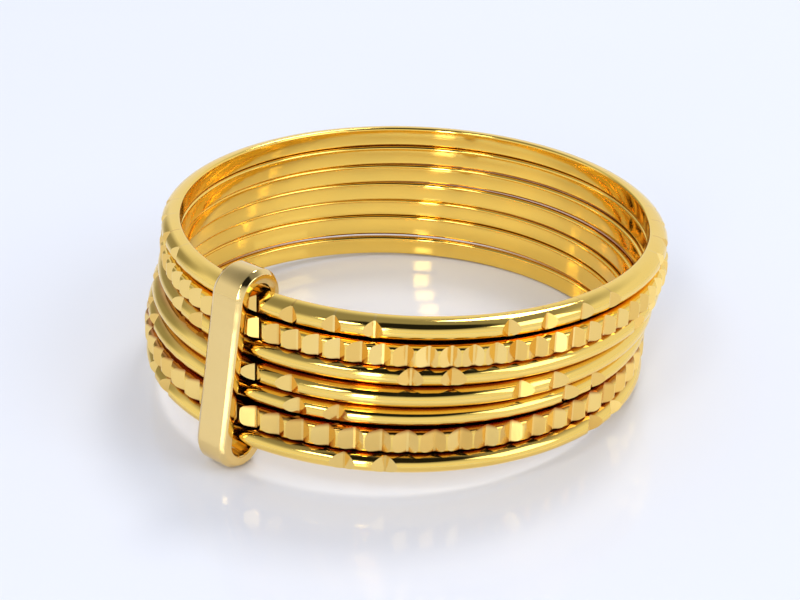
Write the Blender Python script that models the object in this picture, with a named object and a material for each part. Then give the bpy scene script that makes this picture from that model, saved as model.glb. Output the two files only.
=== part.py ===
"""A finger ring made of seven thin half-round bands, strung through one flattened oval loop clip.

The ring lies on its side as it comes to rest: on the rounded lower end of the clip and on the
far edge of the lowest band, so the whole stack tips by a few degrees. Inside that tipped frame
(an empty) the bands are flat circles, +Z along the finger hole, and the clip stands in the plane
of its own azimuth, leaning outward towards its lower end; the bands step sideways with it.

Lengths below are in millimetres and angles in degrees; MM turns them into metres.
"""

import math

import bmesh
import bpy
from mathutils import Matrix, Vector

MM = 0.001

# ---- driving dimensions -------------------------------------------------------------------
INNER_RADIUS = 9.05          # finger hole, 18.1 mm across
PLAIN_DEPTH = 0.75           # radial thickness of the plain half-round wire
FLUTED_DEPTH = 0.81          # radial thickness of the two fluted wires
SIDE_FLAT = 0.15             # flat side of the half-round wire before the dome starts
FLUTED_FLAT = 0.25           # the same on the two fluted wires
FLUTED_POWER = 4.5           # their outer side is a superellipse of this power, squarer than a dome
BAND_GAP = 0.05              # running gap between neighbouring bands

CUT_DEPTH = 0.30             # valley of a V cut below the crest of the dome
CUT_REACH = (0.44, 0.40)     # half widths of a single V cut, to the left and the right of its valley
SHALLOW_DEPTH = 0.24         # the same two for the smaller cuts of band 1
SHALLOW_REACH = (0.33, 0.30)
FLUTE_DEPTH = 0.25           # valley of a flute below the crest of a fluted wire
FLUTE_SHARE = (0.57, 0.37)   # share of the flute pitch that the left and the right facet take
VALLEY_FLAT = 0.04           # half width of the narrow flat along the bottom of each cut

CLIP_AZIMUTH = -43.5         # where the clip stands, from the front (-Y), + towards +X
CLIP_OPENING = 1.18          # clear width of the slot that the bands run through
CLIP_WALL = 0.50             # thickness of the strip
CLIP_WIDTH = 1.42            # width of the strip along the bands
CLIP_BEVEL = 0.11            # bevel along the strip's two outer edges
CLIP_TOP_ROOM = 0.32         # free height in the slot above the top band
CLIP_FOOT_ROOM = 0.45        # free height in the slot below the bottom band
CLIP_START = 0.075           # the slot's centre outside the top band's own centre line
CLIP_FOOT_ANGLE = 12.0       # lean of the clip against the upright when the ring is at rest
BEND_STEPS = 15              # facets round each half-round end, so one of them lies flat on the surface

# A row for each band, top to bottom: height of the wire, its extra steps outward in the slot and
# sideways along the strip, and how it is cut: (kind, values). "groups" = start angles and the
# offsets of the cuts in one group; "flutes" = number of flutes and the angle of one valley.
PAIR = (0.0, 8.8)
FOUR = (0.0, 8.7, 18.3, 26.9)
BANDS = (
    # name,            height, step,  slide,  depth,        cut kind, first values,                           second values
    ("band_1_cut",      0.78, -0.03,  0.00,  PLAIN_DEPTH,  "groups", (-96.6, -39.6, 15.6, 66.8, 117.0, 166.6, 215.5), FOUR),
    ("band_2_fluted",   0.78, -0.04,  0.08,  FLUTED_DEPTH, "flutes", 77, -1.3),
    ("band_3_cut",      0.76, -0.04,  0.03,  PLAIN_DEPTH,  "groups", (-4.0, 55.8, 115.8, 175.8, 235.8, 294.5), PAIR),
    ("band_4_cut",      0.76,  0.05, -0.09,  PLAIN_DEPTH,  "groups", (-37.3, 21.6, 81.0, 141.0, 201.5, 262.0), PAIR),
    ("band_5_cut",      0.70,  0.03, -0.24,  PLAIN_DEPTH,  "groups", (-25.4, 35.6, 94.5, 154.0, 214.0, 274.0), PAIR),
    ("band_6_fluted",   0.86,  0.03, -0.26,  FLUTED_DEPTH, "flutes", 64, -1.1),
    ("band_7_cut",      0.80,  0.02, -0.11,  PLAIN_DEPTH,  "groups", (-14.6, 45.2, 105.0, 165.0, 225.0, 285.3), PAIR),
)
FILL_STEP = 7.5              # longest stretch of dome, in degrees, between two sections of wire
DOME_ANGLES = (-90.0, -62.0, -30.0, 0.0, 30.0, 62.0, 90.0)
FLUTED_ANGLES = (-66.0, -50.0, -22.0, 0.0, 22.0, 50.0, 66.0)
FLUTED_SHOULDER = 85.5

GOLD = (0.97, 0.68, 0.23, 1.0)
GOLD_CLIP = (0.93, 0.68, 0.29, 1.0)


def clear_scene():
    for obj in list(bpy.data.objects):
        bpy.data.objects.remove(obj, do_unlink=True)


def gold(name, colour, roughness):
    material = bpy.data.materials.new(name)
    material.use_nodes = True
    shader = material.node_tree.nodes["Principled BSDF"]
    shader.inputs["Base Color"].default_value = colour
    shader.inputs["Metallic"].default_value = 1.0
    shader.inputs["Roughness"].default_value = roughness
    material.diffuse_color = colour
    return material


def add_object(name, bm, material, parent):
    mesh = bpy.data.meshes.new(name)
    bm.to_mesh(mesh)
    bm.free()
    mesh.shade_smooth()
    mesh.set_sharp_from_angle(angle=math.radians(28))
    mesh.materials.append(material)
    obj = bpy.data.objects.new(name, mesh)
    bpy.context.scene.collection.objects.link(obj)
    obj.parent = parent
    return obj


# ---- the bands ----------------------------------------------------------------------------

def wire_section(height, depth, cut_depth):
    """The outer side of the half-round wire from its lower to its upper edge, as (radius, z).

    It holds the two points where the dome is as low as the valley of a cut, so that the ends
    of every valley are corners of the mesh."""
    fluted = depth == FLUTED_DEPTH
    side_flat, power = (FLUTED_FLAT, FLUTED_POWER) if fluted else (SIDE_FLAT, 2.0)
    dome = depth - side_flat
    base = INNER_RADIUS + side_flat
    angles = [math.radians(a) for a in (FLUTED_ANGLES if fluted else DOME_ANGLES)]
    corner = math.asin((1 - ((dome - cut_depth) / dome) ** power) ** (1 / power))
    inner = [a for a in angles if abs(a) < corner - math.radians(8)]
    shoulder = [math.radians(FLUTED_SHOULDER)] if fluted else []
    angles = [-math.pi / 2, *(-a for a in shoulder), -corner, *inner, corner, *shoulder, math.pi / 2]
    return [
        (base + dome * max(0.0, 1 - abs(math.sin(a)) ** power) ** (1 / power), 0.5 * height * math.sin(a))
        for a in angles
    ]


def cuts_of(kind, first, second, crest, cut_reach):
    """The cuts round a band: (angle of the valley, left reach, right reach), angles rising."""
    if kind == "flutes":
        pitch = math.radians(360.0 / first) * crest
        left, right = (share * pitch - VALLEY_FLAT for share in FLUTE_SHARE)
        return [(second + 360.0 * k / first, left, right) for k in range(first)]
    angles = sorted(start + offset for start in first for offset in second)
    return [(angle, *cut_reach) for angle in angles]


def crease(radius, valley_radius, reach, cut_depth):
    """How far from the valley, in mm along the band, a facet leaves the wire of this radius.

    The facet rises from the valley's edge to the crest over the given reach."""
    crest = valley_radius + cut_depth
    slope = (math.sqrt(crest**2 - (reach + VALLEY_FLAT) ** 2) - valley_radius) / reach
    low, high = VALLEY_FLAT, VALLEY_FLAT + reach
    if math.sqrt(radius**2 - low**2) <= valley_radius:
        return low
    for _ in range(40):
        middle = 0.5 * (low + high)
        facet = valley_radius + (middle - VALLEY_FLAT) * slope
        if facet < math.sqrt(radius**2 - middle**2):
            low = middle
        else:
            high = middle
    return 0.5 * (low + high)


def band_mesh(height, depth, kind, first, second):
    """One band as a closed mesh round its own centre: sections of wire joined one to the next.

    Each cut adds four sections: the two creases where its facets leave the dome, whose angle
    changes from row to row, and the two edges of the valley."""
    crest = INNER_RADIUS + depth
    cut_depth, cut_reach = (SHALLOW_DEPTH, SHALLOW_REACH) if second is FOUR else (CUT_DEPTH, CUT_REACH)
    if kind == "flutes":
        cut_depth = FLUTE_DEPTH
    valley = crest - cut_depth
    rows = wire_section(height, depth, cut_depth)
    cuts = cuts_of(kind, first, second, crest, cut_reach)

    def angle_at(centre, side, offset, radius):
        return math.radians(centre) + side * math.asin(offset / radius)

    sections = []  # each: a list with one (angle, radius) per row, and its own inner angle
    for index, (centre, left, right) in enumerate(cuts):
        edge_angle = math.asin(VALLEY_FLAT / valley)
        edge_radius = math.hypot(valley, VALLEY_FLAT)
        outer = {}
        for side, reach in ((-1, left), (1, right)):
            line = []
            for radius, _ in rows:
                offset = crease(radius, valley, reach, cut_depth)
                line.append((angle_at(centre, side, offset, radius), radius))
            outer[side] = line
        valley_lines = {
            side: [
                (math.radians(centre) + side * edge_angle, edge_radius)
                if radius > edge_radius + 1e-6
                else outer[side][row]
                for row, (radius, _) in enumerate(rows)
            ]
            for side in (-1, 1)
        }
        sections += [outer[-1], valley_lines[-1], valley_lines[1], outer[1]]
        # plain dome up to the next cut
        following = cuts[(index + 1) % len(cuts)]
        turn = 2 * math.pi if index + 1 == len(cuts) else 0.0
        ahead = [
            angle_at(following[0], -1, crease(radius, valley, following[1], cut_depth), radius) + turn
            for radius, _ in rows
        ]
        middle = len(rows) // 2
        span = ahead[middle] - outer[1][middle][0]
        count = max(0, math.ceil(math.degrees(span) / FILL_STEP) - 1)
        if kind == "flutes":
            count = 0
        for k in range(1, count + 1):
            share = k / (count + 1)
            sections.append(
                [
                    (outer[1][row][0] * (1 - share) + ahead[row] * share, rows[row][0])
                    for row in range(len(rows))
                ]
            )

    bm = bmesh.new()
    made = {}

    def vertex(angle, radius, z):
        key = (round(angle * 1e6) % 6283185, round(radius * 1e4), round(z * 1e4))
        if key not in made:
            made[key] = bm.verts.new(
                (radius * math.sin(angle) * MM, -radius * math.cos(angle) * MM, z * MM)
            )
        return made[key]

    loops = []
    for line in sections:
        inner_angle = 0.5 * (line[0][0] + line[-1][0])
        ring = [vertex(angle, radius, rows[row][1]) for row, (angle, radius) in enumerate(line)]
        ring.append(vertex(inner_angle, INNER_RADIUS, rows[-1][1]))
        ring.append(vertex(inner_angle, INNER_RADIUS, rows[0][1]))
        loops.append(ring)
    for index, ring in enumerate(loops):
        following = loops[(index + 1) % len(loops)]
        for row in range(len(ring)):
            up = (row + 1) % len(ring)
            corners = []
            for v in (ring[row], following[row], following[up], ring[up]):
                if v not in corners:
                    corners.append(v)
            if len(corners) > 2:
                bm.faces.new(corners)
    return bm


# ---- the clip -----------------------------------------------------------------------------

def clip_mesh(straight):
    """The oval loop round its own centre: the strip's section carried round a stadium path.

    Local +X points outward from the finger, local +Z up along the loop."""
    inner = 0.5 * CLIP_OPENING
    half = 0.5 * CLIP_WIDTH
    outer = inner + CLIP_WALL
    section = (  # (distance from the path's middle line, along the bands)
        (inner, -half), (outer - CLIP_BEVEL, -half), (outer, -half + CLIP_BEVEL),
        (outer, half - CLIP_BEVEL), (outer - CLIP_BEVEL, half), (inner, half),
    )
    path = []  # (centre height, direction of the outward normal in the loop's plane)
    for end in (1, -1):
        for k in range(BEND_STEPS + 1):
            turn = 90.0 * (1 - end) + 180.0 * k / BEND_STEPS
            path.append((end * 0.5 * straight, math.radians(turn)))
    bm = bmesh.new()
    rings = []
    for height, turn in path:
        direction = Vector((math.cos(turn), 0, math.sin(turn)))
        rings.append(
            [
                bm.verts.new((direction * d + Vector((0, w, height))) * MM)
                for d, w in section
            ]
        )
    for index, ring in enumerate(rings):
        following = rings[(index + 1) % len(rings)]
        for k in range(len(ring)):
            up = (k + 1) % len(ring)
            bm.faces.new((ring[k], ring[up], following[up], following[k]))
    return bm


# ---- assembly -----------------------------------------------------------------------------

def heights():
    """The height of each band's middle above the lower edge of the lowest band."""
    z, levels = 0.0, []
    for row in reversed(BANDS):
        levels.append(z + 0.5 * row[1])
        z += row[1] + BAND_GAP
    return list(reversed(levels)), z - BAND_GAP


def main():
    clear_scene()
    levels, stack = heights()
    outward = Vector(
        (math.sin(math.radians(CLIP_AZIMUTH)), -math.cos(math.radians(CLIP_AZIMUTH)), 0)
    )

    # The clip's lean in the stack and the stack's tip at rest depend on each other: the flat
    # facet next to the foot's pole touches the surface, and so does the far edge of band 7.
    inner, outer = 0.5 * CLIP_OPENING, 0.5 * CLIP_OPENING + CLIP_WALL
    tip = math.radians(2.8)
    for _ in range(20):
        lean = math.radians(CLIP_FOOT_ANGLE) - tip
        start = INNER_RADIUS + 0.5 * PLAIN_DEPTH + CLIP_START

        def slot(z, lean=lean, start=start):
            return start + math.tan(lean) * (levels[0] - z)

        foot = -CLIP_FOOT_ROOM + inner * math.cos(lean)
        head = stack + CLIP_TOP_ROOM - inner * math.cos(lean)
        last = slot(levels[-1]) - INNER_RADIUS - 0.5 * BANDS[-1][4] + BANDS[-1][2]
        far_edge = last - INNER_RADIUS - SIDE_FLAT
        reach = outer * math.cos(math.pi / (2 * BEND_STEPS))
        run, rise = slot(foot) - far_edge, foot
        # rise * cos(tip) + run * sin(tip) = reach
        tip = math.asin(reach / math.hypot(run, rise)) - math.atan2(rise, run)

    rest = bpy.data.objects.new("rest_frame", None)
    bpy.context.scene.collection.objects.link(rest)
    rest.rotation_mode = "QUATERNION"
    rest.rotation_quaternion = Matrix.Rotation(
        tip, 3, outward.cross(Vector((0, 0, 1)))
    ).to_quaternion()

    band_gold = gold("polished_gold", GOLD, 0.08)
    clip_gold = gold("polished_gold_clip", GOLD_CLIP, 0.07)

    built = []
    across = Vector((0, 0, 1)).cross(outward)
    for (name, height, step, slide, depth, kind, first, second), level in zip(BANDS, levels):
        shift = slot(level) - INNER_RADIUS - 0.5 * depth + step
        obj = add_object(name, band_mesh(height, depth, kind, first, second), band_gold, rest)
        obj.location = (outward * shift + across * slide + Vector((0, 0, level))) * MM
        built.append(obj)

    middle = 0.5 * (foot + head)
    clip = add_object(
        "clip", clip_mesh((head - foot) / math.cos(lean)), clip_gold, rest
    )
    clip.location = (outward * slot(middle) + Vector((0, 0, middle))) * MM
    turn = Matrix((outward, across, Vector((0, 0, 1)))).transposed()
    clip.rotation_mode = "QUATERNION"
    # Positive rotation about `across` would tip the head outward; the foot leans outward instead.
    clip.rotation_quaternion = (Matrix.Rotation(-lean, 3, across) @ turn).to_quaternion()
    built.append(clip)

    # Stand it on z = 0, centred over the origin.
    bpy.context.view_layer.update()
    corners = [obj.matrix_world @ v.co for obj in built for v in obj.data.vertices]
    low = [min(c[i] for c in corners) for i in range(3)]
    high = [max(c[i] for c in corners) for i in range(3)]
    rest.location = (-0.5 * (low[0] + high[0]), -0.5 * (low[1] + high[1]), -low[2])
    bpy.context.view_layer.update()


main()
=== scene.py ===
import math

import bmesh
import bpy
from mathutils import Matrix, Vector


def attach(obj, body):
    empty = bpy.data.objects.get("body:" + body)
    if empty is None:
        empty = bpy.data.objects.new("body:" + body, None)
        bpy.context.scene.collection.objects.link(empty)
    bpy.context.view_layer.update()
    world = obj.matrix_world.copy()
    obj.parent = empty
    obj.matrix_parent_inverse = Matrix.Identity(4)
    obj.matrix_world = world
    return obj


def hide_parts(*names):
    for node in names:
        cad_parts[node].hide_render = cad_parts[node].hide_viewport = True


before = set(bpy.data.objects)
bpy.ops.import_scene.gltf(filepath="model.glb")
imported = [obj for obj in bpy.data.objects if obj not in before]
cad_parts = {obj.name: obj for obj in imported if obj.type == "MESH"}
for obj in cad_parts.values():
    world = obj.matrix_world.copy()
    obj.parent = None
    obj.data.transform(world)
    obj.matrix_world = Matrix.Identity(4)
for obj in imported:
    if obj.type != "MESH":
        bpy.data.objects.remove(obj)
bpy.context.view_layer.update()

MM = 0.001

# ---- dimensions, as in the CAD part (millimetres, degrees) -----------------------------------
INNER_RADIUS = 9.05
PLAIN_DEPTH = 0.75
FLUTED_DEPTH = 0.81
SIDE_FLAT = 0.15
FLUTED_FLAT = 0.25
FLUTED_POWER = 4.5
CUT_DEPTH = 0.30
CUT_REACH = (0.44, 0.40)
SHALLOW_DEPTH = 0.24
SHALLOW_REACH = (0.33, 0.30)
FLUTE_DEPTH = 0.25
FLUTE_SHARE = (0.57, 0.37)
FLUTE_SHIFT = 0.02          # the flutes are cut by hand: spread of their places, in pitches,
FLUTE_VARY = 0.05           # and of their facets' reach
VALLEY_FLAT = 0.04
CLIP_OPENING = 1.18
CLIP_WALL = 0.50
CLIP_WIDTH = 1.42
CLIP_BEND_STEPS = 15
CLIP_STRAIGHT = 5.413
PAIR = (0.0, 8.8)
FOUR = (0.0, 8.7, 18.3, 26.9)

STACK_AXIS = (0.0351254, 0.0370146, 0.9986972)
BANDS = (
    # node,            body,     height, depth,       kind,     first, second, centre in the world
    ("band_1_cut", "band_1", 0.78, PLAIN_DEPTH, "groups",
     (-96.6, -39.6, 15.6, 66.8, 117.0, 166.6, 215.5), FOUR, (0.4166, 0.3558, 5.7696)),
    ("band_2_fluted", "band_2", 0.78, FLUTED_DEPTH, "flutes", 77, -1.3, (0.3818, 0.2029, 4.9454)),
    ("band_3_cut", "band_3", 0.76, PLAIN_DEPTH, "groups",
     (-4.0, 55.8, 115.8, 175.8, 235.8, 294.5), PAIR, (0.2061, 0.0904, 4.1347)),
    ("band_4_cut", "band_4", 0.76, PLAIN_DEPTH, "groups",
     (-37.3, 21.6, 81.0, 141.0, 201.5, 262.0), PAIR, (-0.0603, -0.0159, 3.3369)),
    ("band_5_cut", "band_5", 0.70, PLAIN_DEPTH, "groups",
     (-25.4, 35.6, 94.5, 154.0, 214.0, 274.0), PAIR, (-0.2684, -0.0173, 2.5633)),
    ("band_6_fluted", "band_6", 0.86, FLUTED_DEPTH, "flutes", 64, -1.1, (-0.3825, -0.1086, 1.7396)),
    ("band_7_cut", "band_7", 0.80, PLAIN_DEPTH, "groups",
     (-14.6, 45.2, 105.0, 165.0, 225.0, 285.3), PAIR, (-0.4150, -0.3607, 0.8690)),
)
CLIP_CENTRE = (-6.4522, -6.8824, 3.7312)
CLIP_AXIS = (0.14312, 0.15081, 0.97815)
CLIP_AZIMUTH = -43.5

# finer detail than the CAD carries
DOME_STEPS = 26            # rows over the outer dome of a wire
EDGE_RADIUS = 0.11         # rounding between a wire's flat side and its inner face
SIDE_RELIEF = -0.018       # how much lower each side of a finished wire is than the CAD wire: the bands
LAST_RELIEF = 0.010        # all but touch, apart from the lowest, which lies on the surface
EDGE_STEPS = 5
INNER_CROWN = 0.016        # how far the inner face bows towards the finger
GAP_SHADE_BELOW = 0.84
GAP_SHADE_FROM = 0.60         # share of a wire's half height where the painted shade on its upper side begins (the line above gives it for the lower side)
TONE = 0.70                # how far the tone of the cut facets spreads
FILL_STEP = 1.15           # degrees between sections of plain wire
CLIP_FACET = (0.20, 0.14)   # facet along its two outer edges: along the face, along the side
CLIP_SOFT = 0.035          # rounding where the facet begins and ends
CLIP_EDGE = 0.08           # rounding of the clip's two inner edges


# ---- materials ---------------------------------------------------------------------------------

def node(tree, kind, **values):
    made = tree.nodes.new(kind)
    for key, value in values.items():
        if hasattr(made, key):
            setattr(made, key, value)
        else:
            made.inputs[key].default_value = value
    return made


def gold(name, light, deep, rough, scratch, wave, streak=None, seam_at=None):
    """Polished gold: drifting tint, hairlines along the wire, soft waviness, rubbed roughness."""
    material = bpy.data.materials.new(name)
    material.use_nodes = True
    tree = material.node_tree
    shader = tree.nodes["Principled BSDF"]
    shader.inputs["Metallic"].default_value = 1.0
    link = tree.links.new
    place = node(tree, "ShaderNodeTexCoord")
    along = node(tree, "ShaderNodeUVMap")
    along.uv_map = "along"

    # tint: two golds that drift into each other over a millimetre or two
    drift = node(tree, "ShaderNodeTexNoise", Scale=620.0, Detail=3.0, Roughness=0.55)
    link(place.outputs["Object"], drift.inputs["Vector"])
    tint = node(tree, "ShaderNodeMix", data_type="RGBA")
    tint.inputs["A"].default_value = light
    tint.inputs["B"].default_value = deep
    link(drift.outputs["Fac"], tint.inputs["Factor"])
    colour = tint.outputs["Result"]

    # deeper gold on the inner face; painted shade, a dark red-brown, on the hidden sides between the bands, where
    # light bounces many times between the gold and dies away
    inside = node(tree, "ShaderNodeAttribute", attribute_name="inner")
    deeper = node(tree, "ShaderNodeMix", data_type="RGBA")
    deeper.inputs["B"].default_value = (1.0, 0.685, 0.145, 1.0)
    link(inside.outputs["Fac"], deeper.inputs["Factor"])
    link(colour, deeper.inputs["A"])
    painted_gap_shade = node(tree, "ShaderNodeAttribute", attribute_name="painted_gap_shade")
    uneven = node(tree, "ShaderNodeMapRange")
    uneven.inputs["From Min"].default_value = 0.3
    uneven.inputs["From Max"].default_value = 0.7
    uneven.inputs["To Min"].default_value = 0.70
    uneven.inputs["To Max"].default_value = 1.0
    link(drift.outputs["Fac"], uneven.inputs["Value"])
    gap_shade_amount = node(tree, "ShaderNodeMath", operation="MULTIPLY")
    link(painted_gap_shade.outputs["Fac"], gap_shade_amount.inputs[0])
    link(uneven.outputs["Result"], gap_shade_amount.inputs[1])
    # every cut facet has a tone of its own
    tone = node(tree, "ShaderNodeAttribute", attribute_name="tone")
    own = node(tree, "ShaderNodeMix", data_type="RGBA")
    own.inputs["B"].default_value = (0.80, 0.46, 0.09, 1.0)
    link(tone.outputs["Fac"], own.inputs["Factor"])
    link(deeper.outputs["Result"], own.inputs["A"])
    # painted shade: the colour of the gaps between the bands darkened to red-brown
    gap_shade_colour = node(tree, "ShaderNodeMix", data_type="RGBA")
    gap_shade_colour.inputs["B"].default_value = (0.33, 0.072, 0.010, 1.0)
    link(gap_shade_amount.outputs["Value"], gap_shade_colour.inputs["Factor"])
    link(own.outputs["Result"], gap_shade_colour.inputs["A"])
    colour = gap_shade_colour.outputs["Result"]

    # hairlines: noise stretched along the wire
    stretch = node(tree, "ShaderNodeMapping")
    stretch.inputs["Scale"].default_value = streak or (0.35, 26.0, 1.0)
    link(along.outputs["UV"], stretch.inputs["Vector"])
    lines = node(tree, "ShaderNodeTexNoise", Scale=1.0, Detail=4.0, Roughness=0.62)
    link(stretch.outputs["Vector"], lines.inputs["Vector"])

    # rubbed patches and fine grain in the roughness
    patches = node(tree, "ShaderNodeTexNoise", Scale=1500.0, Detail=5.0, Roughness=0.6)
    link(place.outputs["Object"], patches.inputs["Vector"])
    blend = node(tree, "ShaderNodeMath", operation="MULTIPLY")
    link(lines.outputs["Fac"], blend.inputs[0])
    link(patches.outputs["Fac"], blend.inputs[1])
    spread = node(tree, "ShaderNodeMapRange")
    spread.inputs["From Min"].default_value = 0.12
    spread.inputs["From Max"].default_value = 0.42
    spread.inputs["To Min"].default_value = rough[0]
    spread.inputs["To Max"].default_value = rough[1]
    link(blend.outputs["Value"], spread.inputs["Value"])
    link(spread.outputs["Result"], shader.inputs["Roughness"])

    # bump: the soft waviness of a hand-finished surface, then the hairlines
    swell = node(tree, "ShaderNodeTexNoise", Scale=780.0, Detail=1.5, Roughness=0.45)
    link(place.outputs["Object"], swell.inputs["Vector"])
    waves = node(tree, "ShaderNodeBump", Strength=1.0, Distance=wave)
    link(swell.outputs["Fac"], waves.inputs["Height"])
    hair = node(tree, "ShaderNodeBump", Strength=1.0, Distance=scratch)
    link(lines.outputs["Fac"], hair.inputs["Height"])
    link(waves.outputs["Normal"], hair.inputs["Normal"])
    normal = hair.outputs["Normal"]

    if seam_at is not None:
        # the solder seam where the wire's two ends meet, a thin line across it
        split = node(tree, "ShaderNodeSeparateXYZ")
        link(along.outputs["UV"], split.inputs["Vector"])
        off = node(tree, "ShaderNodeMath", operation="SUBTRACT")
        off.inputs[1].default_value = seam_at
        link(split.outputs["X"], off.inputs[0])
        size = node(tree, "ShaderNodeMath", operation="ABSOLUTE")
        link(off.outputs["Value"], size.inputs[0])
        line = node(tree, "ShaderNodeMapRange", interpolation_type="SMOOTHSTEP")
        line.inputs["From Min"].default_value = 0.008
        line.inputs["From Max"].default_value = 0.035
        line.inputs["To Min"].default_value = 1.0
        line.inputs["To Max"].default_value = 0.0
        link(size.outputs["Value"], line.inputs["Value"])
        darker = node(tree, "ShaderNodeMix", data_type="RGBA")
        darker.inputs["B"].default_value = (0.42, 0.24, 0.07, 1.0)
        link(line.outputs["Result"], darker.inputs["Factor"])
        link(colour, darker.inputs["A"])
        colour = darker.outputs["Result"]
        seam = node(tree, "ShaderNodeBump", Strength=0.6, Distance=0.000012)
        seam.invert = True
        link(line.outputs["Result"], seam.inputs["Height"])
        link(normal, seam.inputs["Normal"])
        normal = seam.outputs["Normal"]

    link(colour, shader.inputs["Base Color"])
    link(normal, shader.inputs["Normal"])
    material.diffuse_color = light
    return material


WIRE_LIGHT, WIRE_DEEP = (0.99, 0.705, 0.19, 1.0), (0.97, 0.655, 0.145, 1.0)
CUT_LIGHT, CUT_DEEP = (0.99, 0.73, 0.27, 1.0), (0.96, 0.68, 0.20, 1.0)
CLIP_LIGHT, CLIP_DEEP = (0.90, 0.665, 0.28, 1.0), (0.88, 0.63, 0.24, 1.0)

wire_gold = gold("gold_wire", WIRE_LIGHT, WIRE_DEEP, (0.035, 0.12), 0.0000007, 0.0000080)
seam_gold = gold("gold_wire_with_seam", WIRE_LIGHT, WIRE_DEEP, (0.035, 0.12), 0.0000007, 0.0000080,
                 seam_at=math.radians(-33.0) * INNER_RADIUS)
cut_gold = gold("gold_diamond_cut", CUT_LIGHT, CUT_DEEP, (0.045, 0.15), 0.0000012, 0.0000040,
                streak=(30.0, 0.6, 1.0))
clip_gold = gold("gold_clip", CLIP_LIGHT, CLIP_DEEP, (0.05, 0.15), 0.0000008, 0.0000150,
                 streak=(0.5, 22.0, 1.0))


# ---- bands ---------------------------------------------------------------------------------------

def wire_rows(height, depth, cut_depth, relief):
    """The wire's section as (radius, z): the outer side from bottom to top, then the rest of the way round."""
    height -= 2 * relief
    side_flat, power = (FLUTED_FLAT, FLUTED_POWER) if depth == FLUTED_DEPTH else (SIDE_FLAT, 2.0)
    dome = depth - side_flat
    base = INNER_RADIUS + side_flat
    corner = math.asin((1 - ((dome - cut_depth) / dome) ** power) ** (1 / power))
    step = math.pi / DOME_STEPS
    angles = [-math.pi / 2 + step * k for k in range(1, DOME_STEPS)]
    angles = [a for a in angles if abs(abs(a) - corner) > 0.45 * step]
    angles = sorted([-math.pi / 2, *angles, -corner, corner, math.pi / 2])
    outer = [(base + dome * max(0.0, 1 - abs(math.sin(a)) ** power) ** (1 / power),
              0.5 * height * math.sin(a)) for a in angles]
    half = 0.5 * height

    def bow(z):
        return INNER_RADIUS + INNER_CROWN * (z / half) ** 2

    flat = half - EDGE_RADIUS
    centre = bow(flat) + EDGE_RADIUS
    rest = []
    for k in range(EDGE_STEPS + 1):
        a = 0.5 * math.pi * k / EDGE_STEPS
        rest.append((centre - EDGE_RADIUS * math.sin(a), flat + EDGE_RADIUS * math.cos(a)))
    for k in range(1, 8):
        z = flat * (1 - 2 * k / 8)
        rest.append((bow(z), z))
    for k in range(EDGE_STEPS + 1):
        a = 0.5 * math.pi * (1 - k / EDGE_STEPS)
        rest.append((centre - EDGE_RADIUS * math.sin(a), -flat - EDGE_RADIUS * math.cos(a)))
    return outer, rest


def crease(radius, valley_radius, reach, cut_depth):
    """How far from the valley, in mm along the band, a facet leaves the wire of this radius."""
    crest = valley_radius + cut_depth
    slope = (math.sqrt(crest**2 - (reach + VALLEY_FLAT) ** 2) - valley_radius) / reach
    low, high = VALLEY_FLAT, VALLEY_FLAT + reach
    if math.sqrt(radius**2 - low**2) <= valley_radius:
        return low
    for _ in range(40):
        middle = 0.5 * (low + high)
        facet = valley_radius + (middle - VALLEY_FLAT) * slope
        if facet < math.sqrt(radius**2 - middle**2):
            low = middle
        else:
            high = middle
    return 0.5 * (low + high)


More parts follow.
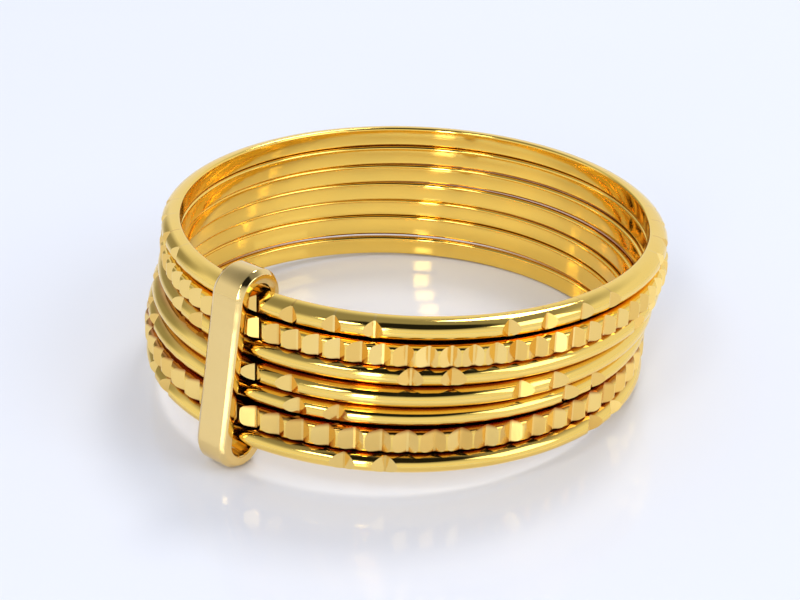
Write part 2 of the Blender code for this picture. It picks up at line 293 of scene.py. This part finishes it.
def band(name, body, height, depth, kind, first, second, centre, wire):
    crest = INNER_RADIUS + depth
    cut_depth, cut_reach = (SHALLOW_DEPTH, SHALLOW_REACH) if second is FOUR else (CUT_DEPTH, CUT_REACH)
    if kind == "flutes":
        cut_depth = FLUTE_DEPTH
    valley = crest - cut_depth
    relief = LAST_RELIEF if name == "band_7_cut" else SIDE_RELIEF
    rows, rest = wire_rows(height, depth, cut_depth, relief)
    if kind == "flutes":
        pitch = math.radians(360.0 / first) * crest
        cuts = []
        for k in range(first):
            vary = [math.sin(n * 12.9898 + first) * 43758.5453 % 1.0 - 0.5 for n in (3 * k, 3 * k + 1, 3 * k + 2)]
            cuts.append((second + 360.0 * (k + FLUTE_SHIFT * vary[0]) / first,
                         FLUTE_SHARE[0] * pitch * (1 + FLUTE_VARY * vary[1]) - VALLEY_FLAT,
                         FLUTE_SHARE[1] * pitch * (1 + FLUTE_VARY * vary[2]) - VALLEY_FLAT))
    else:
        angles = sorted(start + offset for start in first for offset in second)
        cuts = [(angle, *cut_reach) for angle in angles]

    reaches = {}

    def line_at(centre_angle, side, reach):
        if reach not in reaches:
            reaches[reach] = [crease(radius, valley, reach, cut_depth) for radius, _ in rows]
        return [(math.radians(centre_angle) + side * math.asin(offset / radius), radius)
                for (radius, _), offset in zip(rows, reaches[reach])]

    edge_angle = math.asin(VALLEY_FLAT / valley)
    edge_radius = math.hypot(valley, VALLEY_FLAT)
    sections = []  # (line, whether the strip that follows it is cut)
    for index, (angle, left, right) in enumerate(cuts):
        outer = {-1: line_at(angle, -1, left), 1: line_at(angle, 1, right)}
        valley_lines = {
            side: [(math.radians(angle) + side * edge_angle, edge_radius)
                   if rows[row][0] > edge_radius + 1e-6 else outer[side][row]
                   for row in range(len(rows))]
            for side in (-1, 1)
        }
        sections += [(outer[-1], True), (valley_lines[-1], True),
                     (valley_lines[1], True), (outer[1], False)]
        following = cuts[(index + 1) % len(cuts)]
        turn = 2 * math.pi if index + 1 == len(cuts) else 0.0
        ahead = [(a + turn, r) for a, r in line_at(following[0], -1, following[1])]
        middle = len(rows) // 2
        span = math.degrees(ahead[0][0] - outer[1][0][0]) if kind != "flutes" else \
            math.degrees(ahead[middle][0] - outer[1][middle][0])
        count = max(1 if kind == "flutes" else 2, math.ceil(span / FILL_STEP) - 1)
        for k in range(1, count + 1):
            share = k / (count + 1)
            sections.append(([(outer[1][row][0] * (1 - share) + ahead[row][0] * share, rows[row][0])
                              for row in range(len(rows))], False))

    bm = bmesh.new()
    uv = bm.loops.layers.uv.new("along")
    # painted shade between the bands, kept per vertex
    painted_gap_shade_layer = bm.verts.layers.float.new("painted_gap_shade")
    inner_layer = bm.verts.layers.float.new("inner")
    tone_layer = bm.faces.layers.float.new("tone")
    made = {}
    half = 0.5 * height - relief

    def masks(radius, z):
        """(painted shade, inner): painted shade is 1 on the hidden sides between the bands, fading towards both
        faces; inner is 1 on the finger side.
        """
        open_side = (name == "band_1_cut" and z > 0) or (name == "band_7_cut" and z < 0)
        begin = GAP_SHADE_FROM if z > 0 else GAP_SHADE_BELOW
        share = min(1.0, max(0.0, (abs(z) / half - begin) / (1.0 - begin)))
        fade_over = 0.30 if name == "band_7_cut" else 0.14
        fade = min(1.0, max(0.0, (radius - INNER_RADIUS - EDGE_RADIUS) / fade_over))
        deep = 0.0 if open_side else share * share * (3 - 2 * share) * fade
        if name == "band_2_fluted" and z > 0:
            deep = 0.0 if radius > INNER_RADIUS + 0.40 else deep
        if name == "band_1_cut":
            deep *= 0.4
        return deep, 1.0 - min(1.0, max(0.0, (radius - INNER_RADIUS - 0.02) / 0.05))

    def vertex(angle, radius, z):
        key = (round(angle * 1e6) % 6283185, round(radius * 1e4), round(z * 1e4))
        if key not in made:
            made[key] = bm.verts.new(
                (radius * math.sin(angle) * MM, -radius * math.cos(angle) * MM, z * MM))
            made[key][painted_gap_shade_layer], made[key][inner_layer] = masks(radius, z)
        return made[key]

    profile = [rows[k] for k in range(len(rows))] + rest
    girth = [0.0]
    for (r0, z0), (r1, z1) in zip(profile, profile[1:] + profile[:1]):
        girth.append(girth[-1] + math.hypot(r1 - r0, z1 - z0))
    loops = []
    for line, cut in sections:
        inner_angle = 0.5 * (line[0][0] + line[-1][0])
        ring = [(vertex(a, r, rows[row][1]), a) for row, (a, r) in enumerate(line)]
        ring += [(vertex(inner_angle, r, z), inner_angle) for r, z in rest]
        loops.append((ring, cut))
    for index, (ring, cut) in enumerate(loops):
        last = index + 1 == len(loops)
        following = loops[(index + 1) % len(loops)][0]
        wrap = 2 * math.pi if last else 0.0
        for row in range(len(ring)):
            up = (row + 1) % len(ring)
            corners = []
            for (v, a), g in ((ring[row], girth[row]), ((following[row][0], following[row][1] + wrap), girth[row]),
                              ((following[up][0], following[up][1] + wrap), girth[row + 1]), (ring[up], girth[row + 1])):
                if all(v is not c[0] for c in corners):
                    corners.append((v, a * INNER_RADIUS, g))
            if len(corners) > 2:
                face = bm.faces.new([c[0] for c in corners])
                face.material_index = 1 if cut and row < len(rows) - 1 else 0
                if face.material_index:
                    face[tone_layer] = TONE * (math.sin(index * 7.31 + centre[2]) * 24634.6345 % 1.0)
                for loop, c in zip(face.loops, corners):
                    loop[uv].uv = (c[1], c[2])
    mesh = bpy.data.meshes.new(name + "_polished")
    tip = Vector((0, 0, 1)).rotation_difference(Vector(STACK_AXIS).normalized())
    bm.transform(Matrix.Translation(Vector(centre) * MM) @ tip.to_matrix().to_4x4())
    bm.to_mesh(mesh)
    bm.free()
    mesh.shade_smooth()
    mesh.set_sharp_from_angle(angle=math.radians(20))
    mesh.materials.append(wire)
    mesh.materials.append(cut_gold)
    obj = bpy.data.objects.new(name + "_polished", mesh)
    bpy.context.scene.collection.objects.link(obj)
    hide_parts(name)
    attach(obj, body)
    return obj


for row in BANDS:
    band(*row, seam_gold if row[0] == "band_3_cut" else wire_gold)


# ---- clip ----------------------------------------------------------------------------------------

def clip_section():
    """The strip's rounded section: (distance from the path's middle line, width along the bands)."""
    shrink = math.cos(math.pi / (2 * CLIP_BEND_STEPS))
    inner, outer = 0.5 * CLIP_OPENING * shrink, (0.5 * CLIP_OPENING + CLIP_WALL) * shrink
    half = 0.5 * CLIP_WIDTH
    points = []

    def corner(d, w, radius, start, steps):
        for k in range(steps + 1):
            a = math.radians(start + 90.0 * k / steps)
            points.append((d + radius * math.cos(a), w + radius * math.sin(a)))

    def soften(place, before, after):
        """A small rounding where the outline turns from one direction to the next."""
        turns = []
        for direction, sign in ((before, -1), (after, 1)):
            size = CLIP_SOFT / math.hypot(*direction)
            turns.append((place[0] + sign * size * direction[0], place[1] + sign * size * direction[1]))
        for k in range(5):
            t = k / 4
            points.append(tuple((1 - t) ** 2 * a + 2 * t * (1 - t) * m + t**2 * b
                                for a, m, b in zip(turns[0], place, turns[1])))

    corner(inner + CLIP_EDGE, -half + CLIP_EDGE, CLIP_EDGE, 180.0, 4)
    soften((outer - CLIP_FACET[1], -half), (1, 0), (CLIP_FACET[1], CLIP_FACET[0]))
    soften((outer, -half + CLIP_FACET[0]), (CLIP_FACET[1], CLIP_FACET[0]), (0, 1))
    soften((outer, half - CLIP_FACET[0]), (0, 1), (-CLIP_FACET[1], CLIP_FACET[0]))
    soften((outer - CLIP_FACET[1], half), (-CLIP_FACET[1], CLIP_FACET[0]), (-1, 0))
    corner(inner + CLIP_EDGE, half - CLIP_EDGE, CLIP_EDGE, 90.0, 4)
    return points


def clip():
    section = clip_section()
    path = []  # (height of the centre, turn, distance along the path)
    bend, run = 40, 14
    mean = 0.5 * CLIP_OPENING + 0.5 * CLIP_WALL
    for end in (1, -1):
        for k in range(bend + 1):
            turn = 90.0 * (1 - end) + 180.0 * k / bend
            path.append((end * 0.5 * CLIP_STRAIGHT, math.radians(turn)))
        for k in range(1, run):
            path.append((end * CLIP_STRAIGHT * (0.5 - k / run), math.radians(90.0 * (1 - end) + 180.0)))
    bm = bmesh.new()
    uv = bm.loops.layers.uv.new("along")
    rings, length = [], [0.0]
    for height, turn in path:
        direction = Vector((math.cos(turn), 0, math.sin(turn)))
        rings.append([bm.verts.new((direction * d + Vector((0, w, height))) * MM) for d, w in section])
    for index in range(len(path)):
        a, b = path[index], path[(index + 1) % len(path)]
        p = Vector((mean * math.cos(a[1]), a[0] + mean * math.sin(a[1])))
        q = Vector((mean * math.cos(b[1]), b[0] + mean * math.sin(b[1])))
        length.append(length[-1] + (q - p).length)
    girth = [0.0]
    for (d0, w0), (d1, w1) in zip(section, section[1:] + section[:1]):
        girth.append(girth[-1] + math.hypot(d1 - d0, w1 - w0))
    for index, ring in enumerate(rings):
        following = rings[(index + 1) % len(rings)]
        for k in range(len(ring)):
            up = (k + 1) % len(ring)
            face = bm.faces.new((ring[k], ring[up], following[up], following[k]))
            for loop, c in zip(face.loops, ((index, k), (index, k + 1), (index + 1, k + 1), (index + 1, k))):
                loop[uv].uv = (length[c[0]], girth[c[1]])
    up = Vector(CLIP_AXIS).normalized()
    flat = math.radians(CLIP_AZIMUTH)
    across = Vector((0, 0, 1)).cross(Vector((math.sin(flat), -math.cos(flat), 0)))
    outward = across.cross(up)
    turn = Matrix((outward, across, up)).transposed()
    bm.transform(Matrix.Translation(Vector(CLIP_CENTRE) * MM) @ turn.to_4x4())
    mesh = bpy.data.meshes.new("clip_polished")
    bm.to_mesh(mesh)
    bm.free()
    mesh.shade_smooth()
    mesh.set_sharp_from_angle(angle=math.radians(35))
    mesh.materials.append(clip_gold)
    obj = bpy.data.objects.new("clip_polished", mesh)
    bpy.context.scene.collection.objects.link(obj)
    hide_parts("clip")
    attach(obj, "clip")
    return obj


clip()


# ---- floor ---------------------------------------------------------------------------------------

def floor():
    material = bpy.data.materials.new("white_floor")
    material.use_nodes = True
    tree = material.node_tree
    shader = tree.nodes["Principled BSDF"]
    place = node(tree, "ShaderNodeTexCoord")
    noise = node(tree, "ShaderNodeTexNoise", Scale=9.0, Detail=2.0)
    tree.links.new(place.outputs["Object"], noise.inputs["Vector"])
    tint = node(tree, "ShaderNodeMix", data_type="RGBA")
    tint.inputs["A"].default_value = (0.85, 0.868, 0.925, 1.0)
    tint.inputs["B"].default_value = (0.865, 0.880, 0.930, 1.0)
    tree.links.new(noise.outputs["Fac"], tint.inputs["Factor"])
    tree.links.new(tint.outputs["Result"], shader.inputs["Base Color"])
    shader.inputs["Roughness"].default_value = 0.10
    shader.inputs["IOR"].default_value = 1.33
    mesh = bpy.data.meshes.new("floor")
    bm = bmesh.new()
    bmesh.ops.create_grid(bm, x_segments=1, y_segments=1, size=2.0)
    bm.to_mesh(mesh)
    bm.free()
    mesh.materials.append(material)
    obj = bpy.data.objects.new("floor", mesh)
    bpy.context.scene.collection.objects.link(obj)


floor()


# ---- light ---------------------------------------------------------------------------------------

def studio():
    world = bpy.data.worlds.new("studio")
    bpy.context.scene.world = world
    world.use_nodes = True
    tree = world.node_tree
    link = tree.links.new
    back = tree.nodes["Background"]
    place = node(tree, "ShaderNodeTexCoord")

    def near(direction, inner, outer):
        """1 within `inner` degrees of the direction, falling to 0 at `outer` degrees."""
        dot = node(tree, "ShaderNodeVectorMath", operation="DOT_PRODUCT")
        dot.inputs[1].default_value = Vector(direction).normalized()
        link(place.outputs["Generated"], dot.inputs[0])
        fall = node(tree, "ShaderNodeMapRange", interpolation_type="SMOOTHSTEP")
        fall.inputs["From Min"].default_value = math.cos(math.radians(outer))
        fall.inputs["From Max"].default_value = math.cos(math.radians(inner))
        link(dot.outputs["Value"], fall.inputs["Value"])
        return fall.outputs["Result"]

    def mix(colour, direction, inner, outer, value):
        made = node(tree, "ShaderNodeMix", data_type="RGBA")
        made.inputs["B"].default_value = value
        link(near(direction, inner, outer), made.inputs["Factor"])
        link(colour, made.inputs["A"])
        return made.outputs["Result"]

    base = node(tree, "ShaderNodeRGB")
    base.outputs[0].default_value = (0.93, 0.95, 1.0, 1.0)
    colour = base.outputs[0]
    colour = mix(colour, (0.0, 0.0, 1.0), 30, 64, (0.30, 0.31, 0.32, 1.0))      # dim ceiling
    colour = mix(colour, (-0.66, 0.70, 0.24), 8, 27, (0.34, 0.34, 0.30, 1.0))     # dim room, back left
    colour = mix(colour, (0.06, -0.36, 1.0), 18, 26, (0.015, 0.015, 0.015, 1.0))  # dark opening overhead
    # what the metal and the floor reflect is patterned; what lights the floor is even
    ray = node(tree, "ShaderNodeLightPath")
    choose = node(tree, "ShaderNodeMix", data_type="RGBA")
    choose.inputs["A"].default_value = (0.61, 0.65, 0.745, 1.0)
    link(ray.outputs["Is Glossy Ray"], choose.inputs["Factor"])
    link(colour, choose.inputs["B"])
    link(choose.outputs["Result"], back.inputs["Color"])
    back.inputs["Strength"].default_value = 0.93

    def panel(name, place_mm, size, energy, colour=(1.0, 0.98, 0.95)):
        light = bpy.data.lights.new(name, "AREA")
        light.shape = "RECTANGLE"
        light.size, light.size_y = size
        light.energy = energy
        light.color = colour
        obj = bpy.data.objects.new(name, light)
        obj.location = Vector(place_mm) * MM
        obj.rotation_euler = (Vector((0, 0, 3)) - Vector(place_mm)).to_track_quat("-Z", "Y").to_euler()
        bpy.context.scene.collection.objects.link(obj)

    panel("key_back_right", (95, 172, 268), (0.08, 0.08), 0.31)
    panel("front_right_high", (215, -125, 190), (0.16, 0.16), 0.18, (0.90, 0.94, 1.0))
    panel("front_left", (-66, -190, 108), (0.03, 0.09), 0.085)
    panel("front_low", (-80, -225, 50), (0.04, 0.03), 0.025)
    panel("front_left_high", (-120, -130, 230), (0.06, 0.06), 0.08)



studio()


# ---- camera --------------------------------------------------------------------------------------

def camera():
    data = bpy.data.cameras.new("camera")
    data.sensor_width = 36.0
    data.sensor_fit = "HORIZONTAL"
    data.lens = 1767.4 / 800.0 * 36.0
    data.clip_start = 0.001
    data.clip_end = 10.0
    obj = bpy.data.objects.new("camera", data)
    right = Vector((0.9976541, -0.0684104, 0.0025031))
    up = Vector((0.0302668, 0.4735980, 0.8802209))
    back = Vector((-0.0614017, -0.8780803, 0.4745575))
    obj.matrix_world = Matrix.Translation(Vector((-4.4788, -61.5577, 35.7187)) * MM) @ \
        Matrix((right, up, back)).transposed().to_4x4()
    bpy.context.scene.collection.objects.link(obj)
    bpy.context.scene.camera = obj


camera()
bpy.context.scene.view_settings.view_transform = "Standard"
